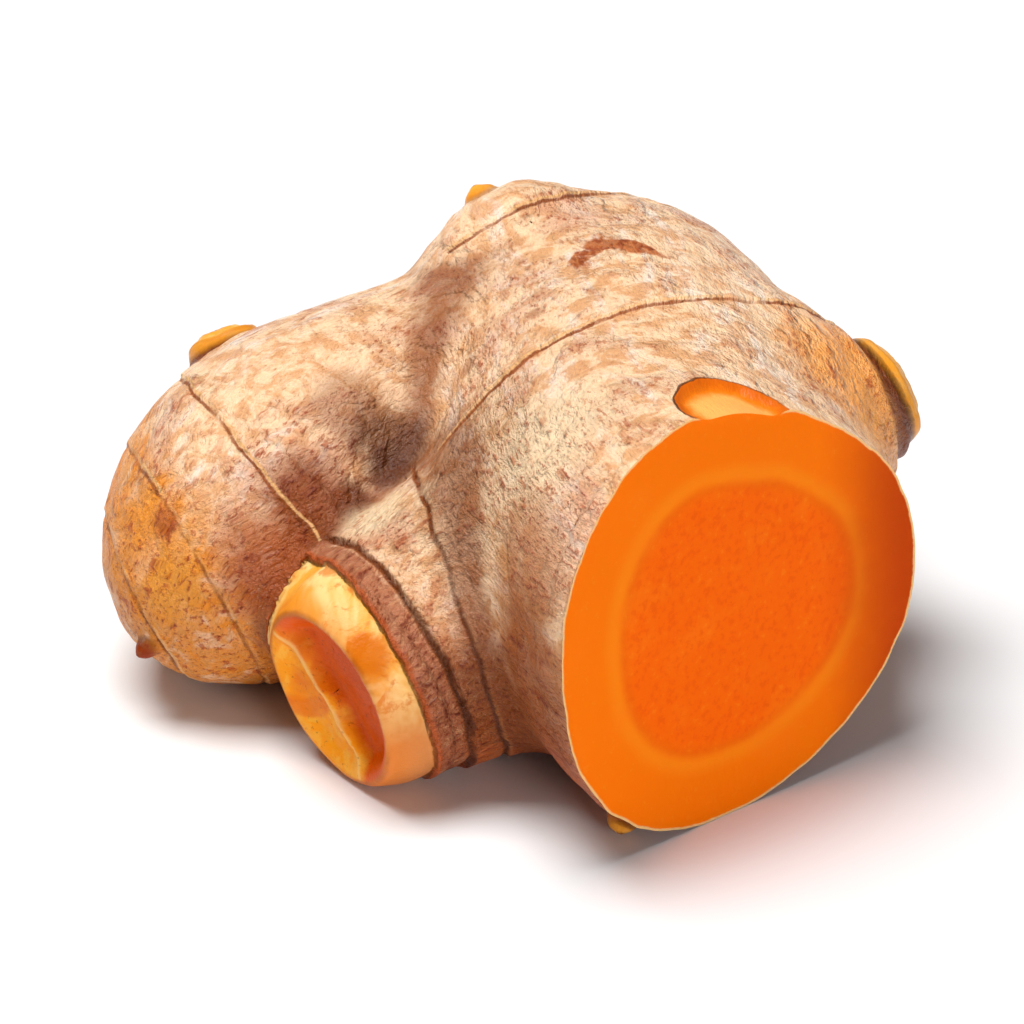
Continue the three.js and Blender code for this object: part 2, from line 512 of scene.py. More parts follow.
def hold_at_cut(mesh, wanted):
    """Moves the corners, but keeps the ones on the knife's plane in it."""
    on_plane = np.abs((corners(mesh) - CUT_CENTRE) @ CUT_OUT) < ON_PLANE
    stray = (wanted - CUT_CENTRE) @ CUT_OUT
    move_corners(mesh, np.where(on_plane[:, None], wanted - np.outer(stray, CUT_OUT), wanted))


def rim_in_order(work):
    """The corners around the open end, one after the other."""
    rim = {edge for edge in work.edges if edge.is_boundary}
    edge = next(iter(sorted(rim, key=lambda each: each.index)))
    first, corner = edge.verts
    ordered = [first]
    while corner is not first:
        rim.discard(edge)
        ordered.append(corner)
        edge = next(each for each in corner.link_edges if each in rim)
        corner = edge.other_vert(corner)
    return ordered


def soften(loop, rounds):
    """Evens out a closed line of points."""
    for _ in range(rounds):
        loop = (np.roll(loop, 1, axis=0) + 2 * loop + np.roll(loop, -1, axis=0)) / 4
    return loop


def calm_beside_cut(mesh, rounds=12, within=0.9):
    """Evens out the rim and the corners just behind the knife's plane, which the carving left ragged."""
    work = bmesh.new()
    work.from_mesh(mesh)
    rim = rim_in_order(work)
    for corner, place in zip(rim, soften(np.array([corner.co for corner in rim]), rounds=6)):
        corner.co = place
    behind = [-(corner.co - Vector(CUT_CENTRE)).dot(Vector(CUT_OUT)) for corner in work.verts]
    near = [corner for corner, deep in zip(work.verts, behind)
            if ON_PLANE < deep < within or deep < -ON_PLANE]
    for _ in range(rounds):
        bmesh.ops.smooth_vert(work, verts=near, factor=0.5,
                              use_axis_x=True, use_axis_y=True, use_axis_z=True)
    work.to_mesh(mesh)
    work.free()


cut_and_divide(skin)
for _ in range(2):
    at = corners(skin)
    hold_at_cut(skin, at - normals(skin) * body_distance(at)[:, None])
field = survey(corners(skin))
for name, (amount, size, seed) in RAGGED.items():
    field[name] = field.get(name, 0) + amount * lumps(field["points"], size, seed)
print("after the cut:", len(skin.polygons), "faces;",
      (field["chip"] > 0).sum(), "corners in the chip,", (field["dish"] > 0).sum(), "in the dish")

# %% [markdown]
# ## Relief
#
# The relief is millimetres outwards at each corner. From coarse to fine: lumps as wide as a pea, the
# steps at the ring scars, wrinkles along the grain, then the bulb, dish, chip and domes. A sheath
# ends in a step: the skin rises towards the scar, drops over it and starts low on the far side.

# %% Wrinkles
WRINKLE_WIDE, WRINKLE_LONG, WRINKLE_HIGH = 1.1, 6.0, 0.13  # mm


def wrinkles(field):
    """Ridges along the grain of each finger, mixed where fingers meet."""
    stretched = np.array((WRINKLE_WIDE, WRINKLE_WIDE, WRINKLE_LONG))
    return sum(field["on"][name] * lumps(field["grain"][name] / stretched, 1, seed=index + 4)
               for index, name in enumerate(ROWS))


# %% [markdown]
# Each mark is a bump or a step of its field, so `relief` only adds them up, in millimetres.

# %% Carving it
def relief(field):
    """Millimetres outwards at every corner."""
    points = field["points"]
    height = 0.15 * lumps(points, 8.0, seed=1) + 0.10 * lumps(points, 2.6, seed=2)
    strength = (1 - 0.8 * field["fork"]) * (1 + 0.9 * lumps(points, 5.0, seed=6))
    for ring, plane in zip(field["rings"], RINGS):
        beyond = ring + field["waver"]
        before, after = np.exp(-np.abs(beyond) / 1.6), -0.8 * np.exp(-np.abs(beyond) / 1.0)
        over_edge = smooth(beyond, -0.12, 0.12)
        step = 0.7 * (before * (1 - over_edge) + after * over_edge)
        groove = 0.5 * bump(beyond - 0.12, 0.16)
        height += strength * plane["depth"] * (step - groove)

    calm = np.clip(field["bulb"] + 0.5, 0, 1) + np.clip(field["dome"] + 0.8, 0, 1) + (field["chip"] > 0)
    height += WRINKLE_HIGH * wrinkles(field) * (1 - np.clip(calm, 0, 1))

    step_up = smooth(field["bulb"] + field["waver"], -0.15, 0.15)
    behind = np.exp(np.minimum(field["bulb"], 0) / 1.2) * (field["bulb"] > -MARK_REACH)
    height += 0.30 * (1 - step_up) * behind
    height -= 0.18 * step_up * np.exp(-np.maximum(field["bulb"], 0) / 0.8)

    height += 0.14 * bump(field["dish"] + 0.1, 0.35)
    height -= CHIP["depth"] * smooth(field["chip"], -0.1, 0.7)

    grown = smooth(field["bud_size"], 0.4, 2.6)
    height -= 0.38 * grown * bump(field["dome"] + 0.05, 0.38)
    height += 0.25 * grown * bump(field["dome"] + 0.85, 0.55)
    height += 0.06 * np.cos(np.pi * field["core"] / BUD_RING) * smooth(field["dome"], 0.2, 0.8)
    height += 0.12 * lumps(points, 1.2, seed=15) * smooth(field["dome"], 0.2, 0.8)
    return height


def dish_depth(field):
    """Millimetres into the stub's end, with a ridge along the crease."""
    side = field["dish_side"] - DISH["crease"]
    inside = smooth(field["dish"], 0.0, 1.5)
    deep = 0.45 + 0.55 * smooth(side, -0.3, 1.0)
    uneven = 0.08 * lumps(field["points"], 0.9, seed=8)
    return inside * (DISH["depth"] * deep - 0.2 * bump(side + 0.3, 0.4) + uneven)


def lay_on_table(points):
    points[:, 2] = np.maximum(points[:, 2], LOW[2])
    return points


heights = relief(field)
carved = corners(skin) + normals(skin) * heights[:, None]
carved -= np.outer(dish_depth(field), DISH["facing"])
hold_at_cut(skin, lay_on_table(carved))
calm_beside_cut(skin)
print("the relief goes from", heights.min().round(2), "to", heights.max().round(2), "mm")

# %% [markdown]
# ## Storing the survey on the mesh
#
# A material can't walk along a row of balls, so each field is stored on the mesh as an attribute.
# Between corners Blender fills them in evenly, which suits distances and grain alike.

# %% Attributes
STORED = ["fork", "dome", "core", "bud_size", "bulb", "sheath", "dish", "dish_side", "chip", "scuff",
          "tip", "waver"]


def store(mesh, name, values):
    """One number, or three, for each corner of the mesh."""
    kind, slot_name = ("FLOAT", "value") if values.ndim == 1 else ("FLOAT_VECTOR", "vector")
    attribute = mesh.attributes.new(name, kind, "POINT")
    attribute.data.foreach_set(slot_name, values.astype(np.float32).ravel())


for name in STORED:
    store(skin, name, field[name])
for name in ROWS:
    store(skin, "grain_" + name, field["grain"][name])
    store(skin, "on_" + name, field["on"][name])
store(skin, "cut_share", np.ones(len(skin.vertices)))
print("stored:", ", ".join(attribute.name for attribute in skin.attributes if attribute.name[0] != "."))

# %% [markdown]
# ## The cut face
#
# The open end gets rows of squares that shrink from the rim to the centre, so that the flesh has
# corners of its own to carry a slightly wavy cut: a kitchen knife never leaves a true plane. The rim
# is marked sharp. `cut_share` is 1 at the rim and 0 at the centre, and draws the rings of the flesh.

# %% Closing the cut
FLESH_SLOT = 1       # the second material; the skin has the first
CUT_ROWS = 22
ROWS_TO_EVEN = 4     # rows over which the rim's small kinks fade out
CUT_WAVES = 0.07     # mm
CUT_SUNK = 0.03      # mm, wet flesh draws back a little from its skin


def close_cut(mesh):
    work = bmesh.new()
    work.from_mesh(mesh)
    share_of = work.verts.layers.float["cut_share"]
    ring = rim_in_order(work)
    rim = np.array([corner.co for corner in ring])
    for corner, following in zip(ring, ring[1:] + ring[:1]):
        work.edges.get((corner, following)).smooth = False
    even = soften(rim, rounds=60)
    centre = even.mean(axis=0)
    added = []
    for row in range(1, CUT_ROWS):
        share = 1 - (row / CUT_ROWS) ** 1.25
        evened = min(1, row / ROWS_TO_EVEN)
        places = centre + (rim * (1 - evened) + even * evened - centre) * share
        depth = CUT_WAVES * lumps(places, 5.0, seed=9) * evened - CUT_SUNK
        inner = [work.verts.new(place + CUT_OUT * deep) for place, deep in zip(places, depth)]
        for corner in inner:
            corner[share_of] = share
        for a, b, c, d in zip(ring, ring[1:] + ring[:1], inner[1:] + inner[:1], inner):
            added.append(work.faces.new((a, b, c, d)))
        ring = inner
    middle = work.verts.new(centre)
    for corner, following in zip(ring, ring[1:] + ring[:1]):
        added.append(work.faces.new((corner, following, middle)))
    for face in added:
        face.material_index = FLESH_SLOT
    if added[0].normal.dot(Vector(CUT_OUT)) < 0 or not any(added[0].normal):
        bmesh.ops.recalc_face_normals(work, faces=work.faces[:])
    for face in work.faces:
        face.smooth = True
    loose = sum(1 for edge in work.edges if not edge.is_manifold)
    work.to_mesh(mesh)
    work.free()
    return len(rim), loose


around, loose = close_cut(skin)
print("the cut has", around, "corners around it;", loose, "edges are open")

# %% [markdown]
# The sculpting is over, so the mesh shrinks from millimetres to metres and becomes the piece that
# stands for the frame's node.

# %% The piece
skin.transform(Matrix.Scale(MM, 4))
skin.name = "turmeric_skin_and_flesh"
root = bpy.data.objects.new("turmeric", skin)
bpy.context.scene.collection.objects.link(root)
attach(root, "root")
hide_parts("turmeric_root")
print("the piece has", len(skin.polygons), "faces")

# %% [markdown]
# ## Materials
#
# Colours are given as sRGB hex values, and Blender's shaders want linear light, so one
# function turns them. One more adds a node with its settings and whatever feeds it.

# %% Colours and nodes
def shade(code):
    """An sRGB hex colour as linear red, green, blue and an alpha of 1."""
    parts = [int(code[place:place + 2], 16) / 255 for place in (1, 3, 5)]
    return [p / 12.92 if p <= 0.04045 else ((p + 0.055) / 1.055) ** 2.4 for p in parts] + [1.0]


def add(tree, kind, settings=None, inputs=None):
    """Adds a shader node. An input is a plain value, or another node's output to link."""
    node = tree.nodes.new("ShaderNode" + kind)
    for name, value in (settings or {}).items():
        setattr(node, name, value)
    for name, value in (inputs or {}).items():
        if isinstance(value, bpy.types.NodeSocket):
            tree.links.new(value, node.inputs[name])
        else:
            node.inputs[name].default_value = value
    return node

# %% [markdown]
# ### What both finishes share
#
# Patterns are measured in millimetres, from the object's own coordinates. A mark's edge on a real
# root is never clean, so its signed distance is first roughened by a noise and then turned into a
# share from 0 to 1. The helpers find the node tree from the output they are given.

# %% Places, patterns and edges in a material
def start_material(name):
    material = bpy.data.materials.new(name)
    material.use_nodes = True
    tree = material.node_tree
    tree.nodes.clear()
    coordinates = add(tree, "TexCoord")
    place = add(tree, "VectorMath", {"operation": "SCALE"},
                {0: coordinates.outputs["Object"], "Scale": 1 / MM}).outputs[0]
    return material, tree, place


def pattern(vector, size, detail=3.0, roughness=0.55, distortion=0.0):
    """Noise from 0 to 1 with bumps about `size` long: three numbers if it is longer one way."""
    tree = vector.id_data
    scale = [1 / length for length in (size if isinstance(size, tuple) else (size,) * 3)]
    scaled = add(tree, "VectorMath", {"operation": "MULTIPLY"}, {0: vector, 1: scale})
    return add(tree, "TexNoise", {}, {"Vector": scaled.outputs[0], "Scale": 1.0, "Detail": detail,
                                      "Roughness": roughness, "Distortion": distortion}).outputs["Fac"]


def edge(value, start, end, noise_share=None, ragged=0.0):
    """0 where the value is at start, 1 where it is at end, with an edge made ragged by a pattern."""
    tree = value.id_data
    if noise_share is not None:
        value = add(tree, "Math", {"operation": "MULTIPLY_ADD"},
                    {0: noise_share, 1: 2 * ragged, 2: value}).outputs[0]
        start, end = start + ragged, end + ragged
    return add(tree, "MapRange", {"interpolation_type": "SMOOTHSTEP"},
               {"Value": value, "From Min": start, "From Max": end}).outputs[0]


def join(*values, rule="MULTIPLY"):
    """Joins values into one. The product of shares shows where all do, the MAXIMUM where any does."""
    joined = values[0]
    for value in values[1:]:
        joined = add(joined.id_data, "Math", {"operation": rule}, {0: joined, 1: value}).outputs[0]
    return joined


def line(value, middle, gone, full, noise_share=None, ragged=0.0):
    """A line where the value is at the middle: 0 at `gone` to each side of it, 1 at `full`."""
    away = add(value.id_data, "Math", {"operation": "ABSOLUTE"}, {0: join(value, -middle, rule="ADD")})
    return edge(away.outputs[0], gone, full, noise_share, ragged)


def past_plane(place, at, facing):
    """Millimetres past a plane, for every place on the surface."""
    tree = place.id_data
    away = add(tree, "VectorMath", {"operation": "SUBTRACT"}, {0: place, 1: at}).outputs[0]
    return add(tree, "VectorMath", {"operation": "DOT_PRODUCT"}, {0: away, 1: facing}).outputs["Value"]


def coat(tree, colour, layers):
    """Lays colours over each other, first to last: a hex value, where it shows and how it blends."""
    for code, where, *blend in layers:
        settings = {"data_type": "RGBA", "blend_type": blend[0] if blend else "MIX"}
        colour = add(tree, "Mix", settings, {0: where, 6: colour, 7: shade(code)}).outputs[2]
    return colour


# %% [markdown]
# ### The skin
#
# Turmeric skin is a thin, dry cork with the remains of papery leaf sheaths on it. It is pale straw
# where it is newest. Towards the table it turns browner, which is painted shade, and in the forks it is
# browner from soil staining with painted shade over it. Its fibres run lengthwise, as short crinkled
# dashes, some of them darker and some painted almost white: painted highlights where they lift and
# catch the light. A dry plant surface has an IOR near 1.45 and is rather rough.

# %% Grain
skin_material, tree, place = start_material("papery_turmeric_skin")
stored = {name: add(tree, "Attribute", {"attribute_name": name}).outputs["Fac"] for name in STORED}
on_finger = {name: add(tree, "Attribute", {"attribute_name": "on_" + name}).outputs["Fac"]
             for name in ROWS}
grains = {name: add(tree, "Attribute", {"attribute_name": "grain_" + name}).outputs["Vector"]
          for name in ROWS}


def along_the_grain(size, **settings):
    """A pattern that is drawn along each finger, and mixed where fingers meet."""
    drawn = {name: pattern(grains[name], size, **settings) for name in ROWS}
    mixed = add(tree, "Mix", {}, {0: on_finger["side"], 2: drawn["main"], 3: drawn["side"]}).outputs[0]
    return add(tree, "Mix", {}, {0: on_finger["stub"], 2: mixed, 3: drawn["stub"]}).outputs[0]


dashes = along_the_grain((0.26, 0.26, 0.60), detail=3.0, roughness=0.6)
crinkles = along_the_grain((0.66, 0.66, 1.30), detail=4.0, roughness=0.65, distortion=0.3)
streaks = along_the_grain((2.2, 2.2, 8.0), detail=4.0, roughness=0.6, distortion=0.8)
cloud = pattern(place, 6.5, detail=4.0, roughness=0.6, distortion=0.6)
mottle = pattern(place, 1.7, detail=5.0, roughness=0.65, distortion=0.5)
speck = pattern(place, 0.35, detail=3.0, roughness=0.6)
print("grain: dashes 0.26 mm wide, crinkles 0.66 mm, streaks 2.2 mm")

# %% [markdown]
# Each ring scar lies in a plane, so the material can work out the exact distance to it, and the thin
# line stays sharp however the mesh runs. The loop keeps the nearest ring of the right finger. Past
# the ring the distance is positive.

# %% The nearest ring scar
scar, scar_away, scar_depth = FAR, FAR, 0.0
for ring in RINGS:
    beyond = join(past_plane(place, ring["at"], ring["facing"]), stored["waver"], rule="ADD")
    beside = add(tree, "Math", {"operation": "ABSOLUTE"}, {0: beyond}).outputs[0]
    elsewhere = join(on_finger[ring["finger"]], 0.5, rule="LESS_THAN")
    away = join(join(elsewhere, FAR), beside, rule="ADD")
    nearer = join(away, scar_away, rule="LESS_THAN")
    scar = add(tree, "Mix", {}, {0: nearer, 2: scar, 3: beyond}).outputs[0]
    scar_depth = add(tree, "Mix", {}, {0: nearer, 2: scar_depth, 3: ring["depth"]}).outputs[0]
    scar_away = join(away, scar_away, rule="MINIMUM")
print("the skin looks for the nearest of", len(RINGS), "scars")

# %% [markdown]
# Every mark is a share from 0 to 1 of how much it shows. Most begin with a stored field: the stub's
# bare bulb and broken end, the chip, the domes, the scuff, the forks and the side finger's tip.

# %% Where each mark shows
marks = {}
FIELD_MARKS = {
    # the mark: its field, where it begins and is full in millimetres, and how ragged it is
    "bulb": ("bulb", -0.05, 0.20, 0.35),
    "sheath": ("sheath", 0.1, 0.6, 0.4),
    "torn": ("bulb", -0.45, -0.15, 0.25),
    "dish": ("dish", -0.05, 0.20, 0.10),
    "dish_rim": ("dish", -0.30, -0.10, 0.15),
    "chip": ("chip", -0.14, 0.02, 0.12),
    "dome": ("dome", -0.1, 0.35, 0.15),
    "dome_edge": ("dome", -0.75, -0.2, 0.25),
    "scuff": ("scuff", -0.05, 0.30, 0.45),
    "fork": ("fork", 0.0, 1.0, 0.35),
    "tip": ("tip", 0.0, 3.5, 1.2),
}
for name, (source, start, end, ragged) in FIELD_MARKS.items():
    marks[name] = edge(stored[source], start, end, mottle, ragged)
print("marks from fields:", ", ".join(marks))

# %% [markdown]
# Other marks are patterns: dashes and crinkles, which show most low down and in patches, and painted
# shade that darkens the root towards the table. One patch above the stub is papery with a leaf's remains.
# A ring scar is a dark line with a pale lip before it; where it is deep, its fold is darkened with painted
# shade, more so low down.

# %% Marks from patterns, and the scars
height = add(tree, "SeparateXYZ", {}, {0: place}).outputs["Z"]
to_papery = add(tree, "VectorMath", {"operation": "DISTANCE"},
                {0: place, 1: spot(0.466, 0.264, 0.728)}).outputs["Value"]
papery = edge(to_papery, 8.0, 4.0, cloud, -3.0)
patchy = join(edge(cloud, 0.40, 0.60), edge(height, 26.0, 8.0), papery, 0.30, rule="MAXIMUM")
# painted shade: full at 4 mm high and gone by 18 mm, so the root darkens towards the table
marks["under"] = edge(height, 18.0, 4.0, cloud, -6.0)
PATTERN_MARKS = {
    # the mark: its pattern, and the values at which it begins and is full
    "dark_dash": (dashes, 0.55, 0.68),
    "pale_dash": (dashes, 0.45, 0.34),
    "brown_crinkle": (crinkles, 0.54, 0.66),
    "pale_crinkle": (crinkles, 0.46, 0.36),
    "tan": (mottle, 0.44, 0.60),
    "rosy": (cloud, 0.50, 0.66),
    "straw": (streaks, 0.50, 0.30),
}
for name, (source, start, end) in PATTERN_MARKS.items():
    marks[name] = edge(source, start, end)

wide = join(join(scar_depth, 3.0), 0.6, rule="ADD")
frayed = join(join(join(mottle, 0.5), scar, -0.25, rule="ADD"), wide, rule="DIVIDE")
marks["scar_line"] = join(line(frayed, 0.10, 0.16, 0.04), edge(cloud, 0.34, 0.50))
marks["scar_lip"] = join(line(frayed, -0.13, 0.16, 0.03), edge(cloud, 0.38, 0.56))
# painted shade in the folds of the deepest scars; `lower` makes it stronger lower down
lower = add(tree, "MapRange", {},
            {"Value": height, "From Min": 17.0, "From Max": 8.0, "To Min": 0.35}).outputs[0]
deep_line = line(frayed, 0.04, 0.20, 0.02, mottle, -0.10)
marks["fold"] = join(edge(scar_depth, 0.18, 0.24), lower, deep_line)
print(len(marks), "marks on the skin")

# %% [markdown]
# Soil and healing left stains, and the list below also paints shade and light as blotches: painted
# shade over some soil staining in the saddle and in the crease between the side finger and the stub,
# painted shade low on the front of the main finger, and painted light high on the main finger. An image
# could be painted for them, but a list of soft blotches is enough, since noise breaks up their edges.

# %% Stains
STAINS_PAINTED_SHADE_AND_LIGHT = [
    # the colour, the middle as shares of the box, the radius in millimetres and how strong it is
    # painted shade over some soil staining: these six darken the saddle and the crease between the side
    # finger and the stub
    ("#8A420C", (0.306, 0.496, 0.687), 4.0, 0.50),
    ("#5A2404", (0.355, 0.469, 0.610), 3.6, 0.80),
    ("#8A4A20", (0.254, 0.394, 0.541), 4.0, 0.50),
    ("#5E2A0C", (0.350, 0.446, 0.560), 2.2, 0.85),
    ("#6A300E", (0.302, 0.407, 0.528), 1.9, 0.85),
    ("#7A3A12", (0.258, 0.372, 0.478), 1.9, 0.85),
    ("#FFA442", (0.905, 0.485, 0.708), 8.0, 0.85),
    # painted light: a paler patch high on the main finger
    ("#FFDDB2", (0.542, 0.203, 0.884), 6.0, 0.85),
    # painted shade over some soil staining: these two darken the same crease lower down
    ("#A84E16", (0.206, 0.355, 0.420), 4.6, 0.85),
    ("#8E4010", (0.250, 0.396, 0.550), 3.0, 0.85),
    ("#F09224", (0.050, 0.412, 0.459), 3.2, 0.85),
    ("#F09A2C", (0.085, 0.363, 0.360), 3.0, 0.80),
    ("#F09224", (0.025, 0.412, 0.335), 3.2, 0.85),
    ("#B5581C", (0.080, 0.397, 0.489), 1.4, 0.80),
    # painted shade: these three darken the front of the main finger towards the table
    ("#B06A30", (0.506, 0.103, 0.646), 6.0, 0.60),
    ("#A04C0C", (0.523, 0.060, 0.449), 7.0, 0.80),
    ("#8A420C", (0.476, 0.171, 0.261), 6.0, 0.80),
    ("#A85A24", (0.526, 0.483, 0.914), 0.9, 0.60),
    ("#A85A24", (0.446, 0.479, 0.786), 1.1, 0.60),
    ("#FFE0B4", (0.345, 0.350, 0.530), 3.4, 0.90),
]


def stain_and_painted_light(centre, radius, strength):
    """A blotch around a spot, with a ragged edge, used for soil staining and for painted shade and light.
    """
    away = add(tree, "VectorMath", {"operation": "DISTANCE"}, {0: place, 1: spot(*centre)})
    ragged = cloud if radius > 3 else mottle  # a pattern about as coarse as the blotch
    return join(edge(away.outputs["Value"], radius, radius * 0.35, ragged, -radius * 0.5), strength)


print(len(STAINS_PAINTED_SHADE_AND_LIGHT), "stains")

# %% [markdown]
# The colours go on in layers, as a painter would: the straw ground, tan and rosy clouds, painted shade
# low down and in the forks, where soil staining goes with it, then crinkles and dashes, and last the scuff
# and the scars.

# %% Skin colours
layers = [
    ("#FFEAD6", join(marks["straw"], 0.9)),
    ("#D98F4C", join(marks["tan"], 0.65)),
    ("#E8A88A", join(marks["rosy"], 0.50)),
    # painted shade towards the table
    ("#C25A12", join(marks["under"], 0.95)),
    ("#F09C40", join(marks["tip"], 0.80)),
    ("#F6C49A", join(marks["tip"], edge(streaks, 0.46, 0.36), 0.8)),
    # soil staining with painted shade over it: the forks between fingers darker
    ("#8A4012", join(marks["fork"], 0.75)),
    ("#EE8C12", join(marks["tip"], edge(streaks, 0.48, 0.58), 0.85)),
    *((code, stain_and_painted_light(*where)) for code, *where in STAINS_PAINTED_SHADE_AND_LIGHT),
    ("#AE6440", join(marks["sheath"], 0.85)),
    ("#8A4420", join(marks["sheath"], edge(crinkles, 0.50, 0.66), 0.6)),
    ("#D09468", join(marks["sheath"], edge(crinkles, 0.46, 0.34), 0.5)),
    ("#C47C4C", join(marks["brown_crinkle"], patchy, 0.75), "MULTIPLY"),
    ("#B8683C", join(marks["dark_dash"], patchy, 0.80), "MULTIPLY"),
    # painted highlights: pale crinkles and dashes lightened as fibres that catch the light
    ("#6A5238", join(marks["pale_crinkle"], 0.30), "SCREEN"),
    ("#6A5238", join(marks["pale_dash"], patchy, 0.30), "SCREEN"),
    ("#8A4A28", join(edge(speck, 0.66, 0.74), 0.5), "MULTIPLY"),
    ("#C87440", join(marks["scuff"], edge(mottle, 0.30, 0.46))),
    ("#9E4416", join(marks["scuff"], edge(crinkles, 0.48, 0.60), 0.85)),
    ("#9A4E1C", join(marks["scar_line"], edge(scar_depth, 0.0, 0.16))),
    ("#F2B878", join(marks["scar_lip"], edge(scar_depth, 0.30, 0.12), edge(scar_depth, 0.04, 0.12))),
    # painted shade in the folds of the deep scars
    ("#5E2A0E", join(marks["fold"], 0.95)),
    ("#C0561C", join(marks["torn"], 0.85)),
    ("#7E3A12", join(marks["dome_edge"], edge(stored["bud_size"], 0.6, 2.4))),
]
ground = coat(tree, shade("#FFD5AA"), layers)
print(len(layers), "layers of colour")

# %% [markdown]
# Where the skin is gone, the stub's bulb is bare wax and the floor of its dish a deep orange, the chip
# is scraped flesh, and the buds' domes are wax with faint rings and a dark centre. Painted shade darkens
# the wax towards the table, the deep side of the dish and the chip's sloping edge.

# %% Wax and bare flesh
to_side, to_core = stored["dish_side"], stored["core"]
crease = DISH["crease"]
wax = coat(tree, shade("#F2A93C"), [
    ("#FFD890", edge(cloud, 0.58, 0.42)),
    ("#DC8032", join(edge(mottle, 0.54, 0.64), 0.8)),
    # painted shade: the wax darker towards the table
    ("#D98A4C", edge(height, 9.0, 5.0, cloud, -3.0)),
    ("#E27604", join(edge(stored["dish"], -1.4, -0.3, cloud, 0.5), 0.55)),
    ("#D06A0A", stain_and_painted_light((0.329, 0.164, 0.391), 2.0, 0.9)),
    ("#B0520A", join(marks["dish_rim"], edge(cloud, 0.42, 0.60), 0.6)),
])
dish_floor = coat(tree, shade("#FF9E0C"), [
    ("#FFC048", join(edge(mottle, 0.54, 0.42), 0.6)),
    ("#E86408", join(edge(cloud, 0.50, 0.62), 0.7)),
    # painted shade: the dish's deep side, in shadow behind the near rim, darker orange, and darker still
    # further over
    ("#E05A00", edge(to_side, crease - 0.2, crease + 0.8, mottle, 0.4)),
    ("#CE4A00", join(edge(to_side, crease + 0.6, crease + 2.6, mottle, 0.8), 0.6)),
    ("#FFCF7C", join(line(to_side, crease - 0.3, 0.26, 0.05, mottle, 0.1), 0.6)),
    ("#A8400C", join(edge(speck, 0.60, 0.72), 0.6)),
])
bare = coat(tree, shade("#EE7A10"), [
    ("#F9B25C", edge(stored["chip"], 0.5, 1.5, mottle, 0.7)),
    # painted shade: darker orange on the chip's sloping edge
    ("#C4500A", join(edge(stored["chip"], 0.7, 0.1, mottle, 0.5), 0.6)),
])
bud_ring = add(tree, "Math", {"operation": "PINGPONG"}, {0: to_core, 1: BUD_RING}).outputs[0]
bud_wax = coat(tree, shade("#F5A838"), [
    ("#F7C46A", edge(mottle, 0.55, 0.35)),
    ("#C07020", join(edge(bud_ring, 0.16, 0.03, mottle, 0.06), 0.45)),
    ("#D8801C", join(edge(stored["dome"], 1.0, 0.2, mottle, 0.3), 0.6)),
    ("#7A2E08", edge(to_core, 0.40, 0.15, speck, 0.15)),
    ("#8A3208", stain_and_painted_light(BUD_LIST["tip_nub"][0], 2.2, 1.0)),
])
COATS = {"bulb": wax, "dish": dish_floor, "chip": bare, "dome": bud_wax}
colour = ground
for name, over in COATS.items():
    colour = add(tree, "Mix", {"data_type": "RGBA"}, {0: marks[name], 6: colour, 7: over}).outputs[2]

# %% [markdown]
# Fibres stand about a tenth of a millimetre proud, which is far below a square of the mesh, so a
# bump does them. It is strongest in the papery patch and weak on wax, which has an even, soft sheen.

# %% Skin surface
FIBRES_PROUD = 0.36 * MM  # what the bump spans between the patterns' 0 and 1
waxy = join(marks["bulb"], marks["dome"], marks["chip"], rule="MAXIMUM")
fibres = join(join(crinkles, 1.6), dashes, join(mottle, 1.6), rule="ADD")
rough = add(tree, "MapRange", {}, {"Value": patchy, "To Min": 0.45, "To Max": 1.0}).outputs[0]
rough = join(rough, join(papery, 0.7), rule="ADD")
rough = add(tree, "Mix", {}, {0: waxy, 2: rough, 3: 0.12}).outputs[0]
raised = add(tree, "Bump", {}, {"Height": join(fibres, rough), "Strength": 1.0,
                                "Distance": FIBRES_PROUD}).outputs[0]
dry = add(tree, "MapRange", {}, {"Value": crinkles, "From Min": 0.35, "From Max": 0.65,
                                 "To Min": 0.27, "To Max": 0.44}).outputs[0]
dry = join(dry, join(papery, -0.10), rule="ADD")
gloss = add(tree, "Mix", {}, {0: waxy, 2: dry, 3: 0.32}).outputs[0]
shine = add(tree, "MapRange", {}, {"Value": waxy, "To Min": 0.36, "To Max": 0.14}).outputs[0]
shader = add(tree, "BsdfPrincipled", {}, {
    "Base Color": colour, "Roughness": gloss, "IOR": 1.45, "Specular IOR Level": shine,
    "Normal": raised, "Subsurface Weight": 0.06, "Subsurface Radius": (1.0, 0.5, 0.2),
    "Subsurface Scale": 0.8 * MM})
add(tree, "OutputMaterial", {}, {"Surface": shader.outputs[0]})
skin.materials.append(skin_material)
print("the skin's shader has", len(tree.nodes), "nodes")

# %% [markdown]
# ### The flesh
#
# The cut shows the root's build. Outside is the thin pale skin, then the bright orange cortex. A
# fine, slightly yellower ring parts it from the core, which is redder and full of tiny bundles that
# were cut across. The flesh is wet, so it is smooth, and its colour comes from a little below the
# surface. Watery plant tissue has an IOR near 1.38. A faint bump gives it the grain of starch.

# %% Flesh
flesh_material, tree, place = start_material("cut_turmeric_flesh")
share = add(tree, "Attribute", {"attribute_name": "cut_share"}).outputs["Fac"]
grainy = pattern(place, 0.5, detail=4.0, roughness=0.65)
soft = pattern(place, 3.5, detail=3.0)
wobble = pattern(place, 5.0, detail=2.0)
to_right = past_plane(place, CUT_CENTRE, CUT_ACROSS)
# painted shadow: the right side of the cut face is darkened, as if another root beside it shaded it
painted_neighbour_shadow = edge(to_right, 0.45 * CUT_RADIUS, 1.05 * CUT_RADIUS, soft, 1.0)
chip_centre = CUT_CENTRE + CUT_ACROSS * CHIP["across"] + np.array((0, 0, CUT_RADIUS - CHIP["depth"]))
from_chip = add(tree, "VectorMath", {"operation": "DISTANCE"},
                {0: place, 1: chip_centre}).outputs["Value"]
